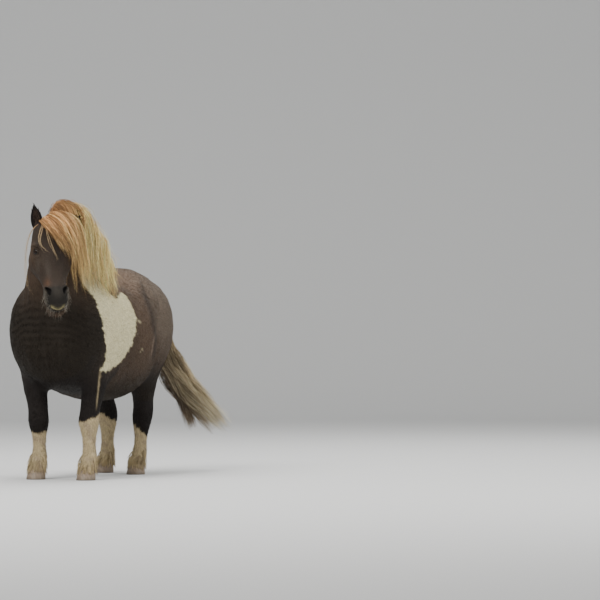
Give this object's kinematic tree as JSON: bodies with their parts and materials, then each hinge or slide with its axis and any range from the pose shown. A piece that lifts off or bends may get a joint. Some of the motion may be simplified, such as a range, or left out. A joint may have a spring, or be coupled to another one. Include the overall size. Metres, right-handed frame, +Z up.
{
  "type": "shetland pony",
  "caption": "Life-size standing shetland pony with its head turned to its left, a wind-blown mane and a full tail.",
  "frame": {"origin": "middle of the bounding box on the ground", "axes": "+Z up, -Y the way the body faces, +X the pony's left side; the body runs along Y"},
  "size_m": [0.6828, 1.628, 1.3057],
  "materials": {
    "ear_left": "matte dark brown coat",
    "ear_right": "matte dark brown coat",
    "eye_left": "clear glossy dark brown",
    "eye_right": "clear glossy dark brown",
    "head": "matte dark brown coat",
    "hoof_fore_left": "dull pale horn",
    "hoof_fore_right": "dull pale horn",
    "hoof_hind_left": "dull pale horn",
    "hoof_hind_right": "dull pale horn",
    "leg_fore_left": "matte dark brown coat",
    "leg_fore_right": "matte dark brown coat",
    "leg_hind_left": "matte dark brown coat",
    "leg_hind_right": "matte dark brown coat",
    "neck": "matte dark brown coat",
    "tail": "matte flaxen hair",
    "torso": "matte dark brown coat"
  },
  "bodies": {
    "root": {"ear_left": "ear_left", "ear_right": "ear_right", "eye_left": "eye_left", "eye_right": "eye_right", "head": "head", "hoof_fore_left": "hoof_fore_left", "hoof_fore_right": "hoof_fore_right", "hoof_hind_left": "hoof_hind_left", "hoof_hind_right": "hoof_hind_right", "leg_fore_left": "leg_fore_left", "leg_fore_right": "leg_fore_right", "leg_hind_left": "leg_hind_left", "leg_hind_right": "leg_hind_right", "neck": "neck", "tail": "tail", "torso": "torso"}
  },
  "joints": []
}
